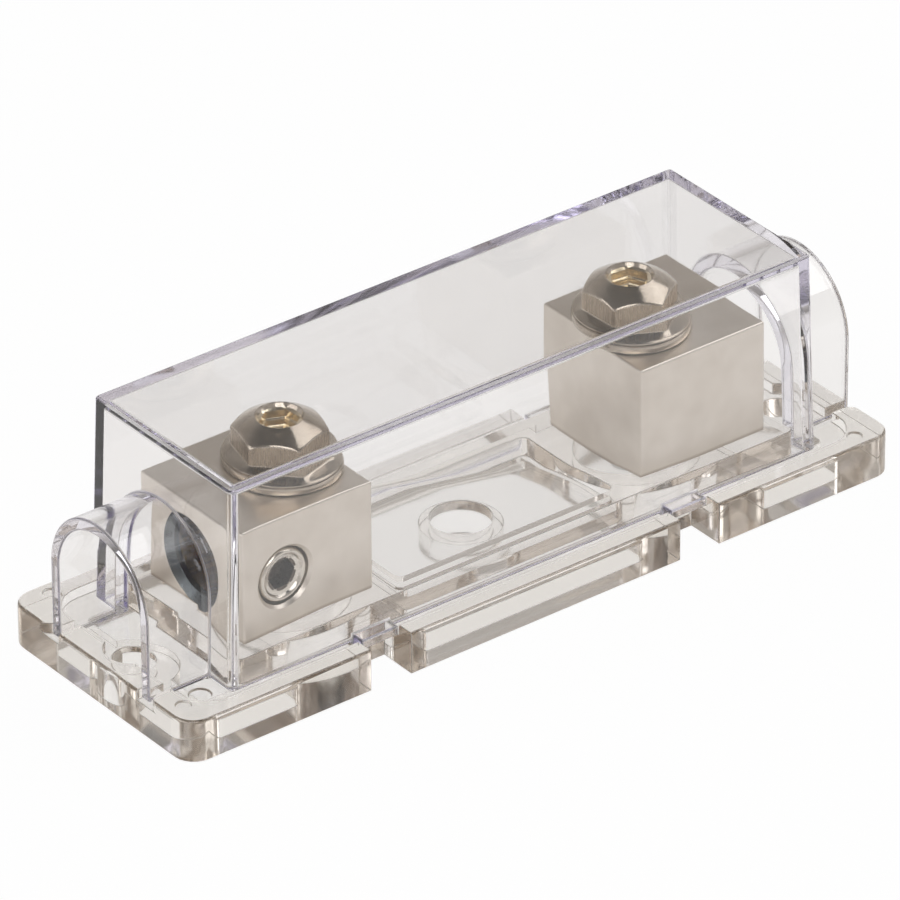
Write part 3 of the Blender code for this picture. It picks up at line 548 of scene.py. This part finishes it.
class FUSEHOLDER_OT_stage(Operator):
    """Make the paper floor, the lamps, the world and the camera"""
    bl_idname = "fuse_holder.stage"
    bl_label = "Make Studio"

    def execute(self, context):
        sizes = context.scene.fuse_holder_studio
        self.make_floor(context, sizes)
        self.make_lamps(context)
        self.make_world(context)
        self.make_camera(context, sizes)
        context.scene.view_settings.view_transform = "Standard"
        # Light is reflected inside the clear walls many times before it gets out
        context.scene.cycles.max_bounces = INNER_REFLECTIONS
        context.scene.cycles.glossy_bounces = INNER_REFLECTIONS
        context.scene.cycles.transmission_bounces = INNER_REFLECTIONS
        return {"FINISHED"}

    def make_floor(self, context, sizes):
        half = sizes.floor_size / 2
        mesh = bpy.data.meshes.new("paper_floor")
        mesh.from_pydata([(-half, -half, 0), (half, -half, 0), (half, half, 0), (-half, half, 0)],
                         [], [(0, 1, 2, 3)])
        mesh.transform(Matrix.Translation((0, 0, FLOOR_LEVEL)))
        floor = bpy.data.objects.new("paper_floor", mesh)
        context.scene.collection.objects.link(floor)
        mesh.materials.append(studio_floor_material(sizes.white_share, sizes.through_share))

    def make_lamps(self, context):
        for name, place, width, power in SOFT_BOXES:
            lamp = bpy.data.lights.new(name, "AREA")
            lamp.size = width
            lamp.energy = power
            item = bpy.data.objects.new(name, lamp)
            item.location = place
            item.rotation_mode = "QUATERNION"
            item.rotation_quaternion = (Vector(LAMP_AIM) - Vector(place)).to_track_quat("-Z", "Y")
            context.scene.collection.objects.link(item)

    def make_world(self, context):
        world = bpy.data.worlds.new("studio room")
        world.use_nodes = True
        context.scene.world = world
        tree = world.node_tree
        tree.nodes.clear()
        place = add_node(tree, "ShaderNodeTexCoord")
        parts = add_node(tree, "ShaderNodeSeparateXYZ", [(place.outputs["Generated"], "Vector")])
        height = add_node(tree, "ShaderNodeValToRGB", [(parts.outputs["Z"], "Fac")])
        stops = height.color_ramp.elements
        for number, (level, code) in enumerate(ROOM_TONES):
            stop = stops[number] if number < 2 else stops.new(level)
            stop.position = level
            stop.color = linear(code)
        room = add_node(tree, "ShaderNodeBackground", [(height.outputs["Color"], "Color")],
                        {"Strength": 1.0})
        # The camera sees plain white where no paper is
        white = add_node(tree, "ShaderNodeBackground", (), {"Color": (1, 1, 1, 1), "Strength": 1.0})
        path = add_node(tree, "ShaderNodeLightPath")
        mix = add_node(tree, "ShaderNodeMixShader", [(path.outputs["Is Camera Ray"], 0),
                                                     (room.outputs[0], 1), (white.outputs[0], 2)])
        add_node(tree, "ShaderNodeOutputWorld", [(mix.outputs[0], "Surface")])

    def make_camera(self, context, sizes):
        data = bpy.data.cameras.new("photo_camera")
        data.sensor_width = 36.0
        data.lens = sizes.lens
        data.clip_start = 0.01
        data.clip_end = 50.0
        camera = bpy.data.objects.new("photo_camera", data)
        turn, rise = sizes.azimuth, sizes.elevation
        back = Vector((math.sin(turn) * math.cos(rise), -math.cos(turn) * math.cos(rise),
                       math.sin(rise)))
        right = Vector((math.cos(turn), math.sin(turn), 0))
        up = back.cross(right)
        shift = right * sizes.slide[0] + up * sizes.slide[1]
        camera.location = Vector(sizes.aim) + back * sizes.distance + shift
        camera.rotation_mode = "QUATERNION"
        level = (-back).to_track_quat("-Z", "Y")
        roll = Matrix.Rotation(sizes.roll, 3, "Z").to_quaternion()
        camera.rotation_quaternion = level @ roll
        context.scene.collection.objects.link(camera)
        context.scene.camera = camera


class FUSEHOLDER_OT_mouldings(Operator):
    """Make the clear base and cover"""
    bl_idname = "fuse_holder.mouldings"
    bl_label = "Make Clear Mouldings"

    def execute(self, context):
        sizes = context.scene.fuse_holder_mouldings
        # Polycarbonate moulded thick: a warm tint in its depth, and waves that blur what lies behind
        warm = clear_plastic("moulded polycarbonate, warm", sizes.base_tint, sizes.tint_depth,
                             roughness=0.08, wave_mm=5.0, wave_height_mm=0.016)
        # The same moulded thin in a well polished mould: cooler, flatter and with sharper reflections
        cool = clear_plastic("moulded polycarbonate, cool", sizes.cover_tint, sizes.tint_depth,
                             roughness=0.02, wave_mm=9.0, wave_height_mm=0.008)
        for node, body, slot, material, edge in (
                ("base", "holder", "base_plastic", warm, sizes.base_edge),
                ("cover", "cover", "cover_plastic", cool, sizes.cover_edge)):
            piece = finished_piece(context, f"clear_{node}", whole_copy(node, f"clear_{node}"),
                                   [material, material], body, [node])
            broken_edges(context, piece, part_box(node), edge, 3, worn_slot=1)
        return {"FINISHED"}


class FUSEHOLDER_OT_blocks(Operator):
    """Make the two terminal blocks and the screws that hold them"""
    bl_idname = "fuse_holder.blocks"
    bl_label = "Make Terminal Blocks"

    def execute(self, context):
        sizes = context.scene.fuse_holder_metal
        # Sawn brass bar under satin nickel: a soft sheen, drawn out upright by the saw's marks. The real
        # marks are too fine to show, so they are 0.6 mm apart here
        # The satin plate carries a brown band of painted shade along the block's foot
        satin = plated_metal("satin nickel plate over sawn brass", (sizes.plate, sizes.cloudy_plate),
                             roughness=(0.31, 0.35), grain_mm=0.6, height_mm=0.0003, stretch=(1, 1, 10),
                             foot=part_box("terminal_block_left")[0][2] - sizes.seat_gap)
        # The bore has no plate and shows its brass; its dark and golden streaks, which run the way that the
        # cable goes in, are painted reflections
        drilled = drilled_brass("drilled brass, painted reflection streaks", sizes.bore_ring)
        # Plated in a barrel: blue-grey, with small soft highlights
        bright = plated_metal("bright zinc plate on the block screws",
                              (linear("#C9C9C6"), linear("#B9B9B8")),
                              roughness=(0.2, 0.3), grain_mm=0.3, height_mm=0.001)
        for end in ("left", "right"):
            node, screw_node = f"terminal_block_{end}", f"block_screw_{end}"
            mesh = whole_copy(node, f"plated_block_{end}")
            self.seat(mesh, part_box(node), sizes)
            block = finished_piece(context, f"plated_block_{end}", mesh, [satin, drilled], "holder",
                                   [node])
            corners = [[point[axis] for point in block.bound_box] for axis in range(3)]
            broken_edges(context, block, ([min(row) for row in corners], [max(row) for row in corners]),
                         sizes.edge)
            screw = finished_piece(context, f"holding_screw_{end}",
                                   whole_copy(screw_node, f"holding_screw_{end}"),
                                   [bright], "holder", [screw_node])
            broken_edges(context, screw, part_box(screw_node), HOLDING_SCREW_EDGE)
        return {"FINISHED"}

    def seat(self, mesh, box, sizes):
        """Lowers the foot onto the platform, gives the cable bore its own metal and sets the length."""
        foot, middle = box[0][2], (box[0][1] + box[1][1]) / 2
        for vertex in mesh.vertices:
            if vertex.co.z < foot + END_BAND:
                vertex.co.z -= sizes.seat_gap
        bore_height, bore_reach = foot + sizes.bore_height, sizes.bore / 2 + 0.1 * MM
        inner = min(abs(box[0][0]), abs(box[1][0]))
        for face in mesh.polygons:
            away = math.hypot(face.center.y - middle, face.center.z - bore_height)
            depth = abs(face.center.x)
            deep = sizes.bore_end < depth < sizes.bore_ring and away < bore_reach
            ring = sizes.bore_ring < depth < sizes.bore_face and away < sizes.bore_mouth / 2
            if deep or ring:
                face.material_index = 1
        for vertex in mesh.vertices:
            outwards = math.copysign(1.0, vertex.co.x)
            if abs(vertex.co.x) > sizes.bore_ring - 0.05 * MM:
                vertex.co.x += outwards * sizes.longer_outside
            elif abs(vertex.co.x) < inner + END_BAND:
                vertex.co.x -= outwards * sizes.longer_inside


class FUSEHOLDER_OT_bolts(Operator):
    """Make the two fuse bolts and their washers"""
    bl_idname = "fuse_holder.bolts"
    bl_label = "Make Fuse Bolts"

    def execute(self, context):
        sizes = context.scene.fuse_holder_metal
        # Bright nickel over a forged head: nearly a mirror, with the fine unevenness of the forging
        bright = plated_metal("bright nickel plate on forged steel", (linear("#BFB5A8"), linear("#A4998C")),
                              roughness=(0.12, 0.2), grain_mm=0.3, height_mm=0.002)
        # The punched socket's plate is painted lighter and yellower than the head's, as painted light in the
        # recess; it is softer, with upright punch marks
        recess = plated_metal("socket plate, painted lighter", (linear("#EBDFC6"), linear("#CDB992")),
                              roughness=(0.16, 0.24), grain_mm=0.3, height_mm=0.001, stretch=(1, 1, 6))
        # The die that trims the hexagon drags down its sides: upright lines that spread each highlight
        # Painted shade: the hexagon's sides are coloured darker and browner than the head
        sides = plated_metal("nickel plate over drag marks, painted shade on the sides",
                             (linear("#AFA08E"), linear("#8A7C6D")),
                             roughness=(0.22, 0.34), grain_mm=0.25, height_mm=0.012, stretch=(1, 1, 20))
        tree = thread_tree()
        for end, turn in HEAD_TURNS:
            low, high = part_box(f"fuse_bolt_{end}")
            washer_low, washer_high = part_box(f"bolt_washer_{end}")
            foot = washer_high[2] + sizes.seat_gap
            axis_x, axis_y = (low[0] + high[0]) / 2, (low[1] + high[1]) / 2
            middle = Matrix.Translation((axis_x, axis_y, foot))
            head = self.head_mesh(f"bolt_head_{end}", sizes, (high[0] - low[0]) / 2, low[2] - foot)
            head.transform(middle @ Matrix.Rotation(math.radians(turn), 4, "Z"))
            self.paint_socket_and_sides(head, middle.translation, foot, sizes)
            finished_piece(context, f"bolt_head_{end}", head, [bright, recess, sides], f"bolt_{end}",
                           [f"fuse_bolt_{end}"])
            tip = Matrix.Translation((axis_x, axis_y, low[2] + THREAD_START))
            thread = thread_mesh(context, f"bolt_thread_{end}", tree, tip,
                                 {"Core Radius": BOLT_CORE_RADIUS, "Pitch": sizes.pitch, "Ridge": RIDGE,
                                  "Length": foot - low[2] - BOLT_THREAD_SHORTER}, bright)
            finished_piece(context, f"bolt_thread_{end}", thread, [bright], f"bolt_{end}")
            finished_piece(context, f"flat_washer_{end}",
                           self.washer_mesh(f"flat_washer_{end}", washer_low, washer_high, sizes.seat_gap),
                           [bright], f"washer_{end}", [f"bolt_washer_{end}"])
        return {"FINISHED"}

    def paint_socket_and_sides(self, head, middle, foot, sizes):
        """Gives the socket its lighter plate with painted light, and the hexagon's sides their painted
        shade.
        """
        socket_reach = sizes.socket_flats / 2 + 0.45 * MM
        socket_top = foot + sizes.head_rise - 0.4 * MM
        sides_reach, sides_foot = sizes.head_flats * 0.49, foot + 0.5 * MM
        for face in head.polygons:
            away = math.hypot(face.center.x - middle.x, face.center.y - middle.y)
            upright = abs(face.normal.z) < 0.2
            if away < socket_reach and foot < face.center.z < socket_top:
                face.material_index = 1
            elif away > sides_reach and upright and face.center.z > sides_foot:
                face.material_index = 2

    def head_mesh(self, name, sizes, flange, tip):
        """Shank, flange, hexagon, dome and stepped socket, through rings from the tip to the socket."""
        top, rim, seat = sizes.head_rise, sizes.socket_rim / 2, -sizes.seat_gap
        corner = CORNER_SHARE * (sizes.head_flats / math.sqrt(3))
        sides = [hexagon_reach(sizes.head_flats, turn, corner) for turn in STEPS]

        def domed_ring(radii, height):
            """A ring on the curve of the dome, or at a height above it."""
            return shaped_ring(radii, [top - sizes.dome * (radius ** 2 - rim ** 2) + height
                                       for radius in radii])

        rings = [round_ring(POINT_RADIUS, tip), round_ring(SHANK_RADIUS, tip + POINT_HEIGHT),
                 round_ring(SHANK_RADIUS, seat - NECK_HEIGHT), round_ring(NECK_RADIUS, seat)]
        rings += [round_ring(flange - inset * MM, seat + height * MM) for inset, height in FLANGE_RINGS]
        rings += [shaped_ring([side + out * MM for side in sides], [height * MM] * len(STEPS))
                  for out, height in HEXAGON_FOOT_RINGS]
        rings += [domed_ring([side + out * MM for side in sides], height * MM)
                  for out, height in HEXAGON_TOP_RINGS]
        starts = [side - DOME_START for side in sides]
        rings += [domed_ring([start + (rim + DOME_END - start) * share for start in starts], 0.0)
                  for share in DOME_SHARES]
        rings += [round_ring(rim + out * MM, top - depth * MM) for out, depth in SOCKET_MOUTH_RINGS]
        wide, narrow = sizes.socket_flats, sizes.socket_flats - SOCKET_LEDGE
        for flats, steps in ((wide, SOCKET_RINGS), (narrow, LOWER_SOCKET_RINGS)):
            rings += [hexagon_ring(flats - less * MM, limit * MM, top - depth * MM,
                                   math.radians(SOCKET_TWIST)) for less, limit, depth in steps]
        rings.append(round_ring(SOCKET_FLOOR_RADIUS, top - SOCKET_DEPTH))
        return lofted(name, rings)

    def washer_mesh(self, name, low, high, seat_gap):
        """A flat ring whose outer edges are rolled and whose hole is punched, down on the block."""
        outer, thick = (high[0] - low[0]) / 2, high[2] - low[2] + seat_gap
        hole, edge = WASHER_HOLE_RADIUS, ROLLED_EDGE
        profile = [(hole, PUNCHED_EDGE), (hole + PUNCHED_EDGE, 0), (outer - edge, 0),
                   (outer - 0.3 * edge, 0.3 * edge), (outer, edge), (outer, thick - edge),
                   (outer - 0.3 * edge, thick - 0.3 * edge), (outer - edge, thick),
                   (hole + TORN_EDGE, thick), (hole, thick - TORN_EDGE)]
        mesh = lofted(name, [round_ring(radius, height) for radius, height in profile], closed=True)
        mesh.transform(Matrix.Translation(((low[0] + high[0]) / 2, (low[1] + high[1]) / 2,
                                           low[2] - seat_gap)))
        return mesh


class FUSEHOLDER_OT_grub_screws(Operator):
    """Make the two screws that grip the cables"""
    bl_idname = "fuse_holder.grub_screws"
    bl_label = "Make Cable Grub Screws"

    def execute(self, context):
        sizes = context.scene.fuse_holder_metal
        # Bright nickel over a turned end: small sharp highlights round its chamfer
        bright = plated_metal("bright nickel plate on turned steel", (linear("#D8D2C9"), linear("#C4BDB3")),
                              roughness=(0.1, 0.18), grain_mm=0.3, height_mm=0.001)
        # The small socket is painted dark and brown, as painted shade in the recess; it is also dull
        recess = plated_metal("grub socket steel, painted shade", (linear("#6B6057"), linear("#4C433B")),
                              roughness=(0.25, 0.4), grain_mm=0.3, height_mm=0.003)
        tree = thread_tree()
        for end, side in (("left", -1), ("right", 1)):
            low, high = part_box(f"cable_grub_screw_{end}")
            length, radius = high[1] - low[1], (high[0] - low[0]) / 2
            front = low[1] if side < 0 else high[1]
            place = (Matrix.Translation(((low[0] + high[0]) / 2, front, (low[2] + high[2]) / 2))
                     @ Matrix.Rotation(-side * math.pi / 2, 4, "X"))
            body = self.body_mesh(f"grub_body_{end}", sizes, radius, length)
            socket_reach = sizes.grub_flats / 2 + 0.3 * MM
            socket_floor, socket_top = -3.65 * MM, -0.36 * MM
            for face in body.polygons:
                away = math.hypot(face.center.x, face.center.y)
                if away < socket_reach and socket_floor < face.center.z < socket_top:
                    face.material_index = 1
            body.transform(place)
            finished_piece(context, f"grub_body_{end}", body, [bright, recess], f"grub_{end}",
                           [f"cable_grub_screw_{end}"])
            thread = thread_mesh(context, f"grub_thread_{end}", tree,
                                 place @ Matrix.Translation((0, 0, THREAD_START - length)),
                                 {"Core Radius": radius - GRUB_CORE_INSET, "Pitch": sizes.pitch,
                                  "Ridge": RIDGE, "Length": length - GRUB_THREAD_SHORTER}, bright)
            finished_piece(context, f"grub_thread_{end}", thread, [bright], f"grub_{end}")
        return {"FINISHED"}

    def body_mesh(self, name, sizes, radius, length):
        """Cup point, core, chamfered face and hexagon socket, from the point up to the socket's floor."""
        core = radius - CORE_INSET
        rings = [round_ring(CUP_FLOOR_RADIUS, CUP_DEPTH - length)]
        rings += [round_ring(share * radius, height * MM - length) for share, height in CUP_RINGS]
        rings.append(round_ring(core, CORE_HEIGHT - length))
        rings += [round_ring(radius - inset * MM, -depth * MM) for inset, depth in GRUB_FACE_RINGS]
        rings += [round_ring(reach * MM, -depth * MM) for reach, depth in DISH_RINGS]
        rings += [hexagon_ring(sizes.grub_flats, GRUB_SOCKET_REACH, -depth) for depth in GRUB_SOCKET_DEPTHS]
        rings.append(round_ring(GRUB_DRILL_RADIUS, -GRUB_DRILL_DEPTH))
        return lofted(name, rings)


class FUSEHOLDER_PT_panel(Panel):
    """Lists the sizes and the steps"""
    bl_idname = "FUSEHOLDER_PT_panel"
    bl_label = "Fuse Holder"
    bl_space_type = "VIEW_3D"
    bl_region_type = "UI"
    bl_category = "Fuse Holder"

    def draw(self, context):
        for name in PROPERTY_GROUPS:
            group = getattr(context.scene, name)
            for prop in group.bl_rna.properties:
                if prop.identifier not in ("rna_type", "name"):
                    self.layout.prop(group, prop.identifier)
        for operator in OPERATORS:
            self.layout.operator(operator.bl_idname)


PROPERTY_GROUPS = {"fuse_holder_studio": StudioSizes, "fuse_holder_mouldings": MouldingSizes,
                   "fuse_holder_metal": MetalSizes}
OPERATORS = (FUSEHOLDER_OT_stage, FUSEHOLDER_OT_mouldings, FUSEHOLDER_OT_blocks, FUSEHOLDER_OT_bolts,
             FUSEHOLDER_OT_grub_screws)


def register():
    for name, group in PROPERTY_GROUPS.items():
        bpy.utils.register_class(group)
        setattr(bpy.types.Scene, name, PointerProperty(type=group))
    for cls in (*OPERATORS, FUSEHOLDER_PT_panel):
        bpy.utils.register_class(cls)


def unregister():
    for cls in (FUSEHOLDER_PT_panel, *reversed(OPERATORS)):
        bpy.utils.unregister_class(cls)
    for name, group in PROPERTY_GROUPS.items():
        delattr(bpy.types.Scene, name)
        bpy.utils.unregister_class(group)


def main():
    register()
    bpy.ops.fuse_holder.stage()
    bpy.ops.fuse_holder.mouldings()
    bpy.ops.fuse_holder.blocks()
    bpy.ops.fuse_holder.bolts()
    bpy.ops.fuse_holder.grub_screws()


if __name__ == "__main__":
    main()
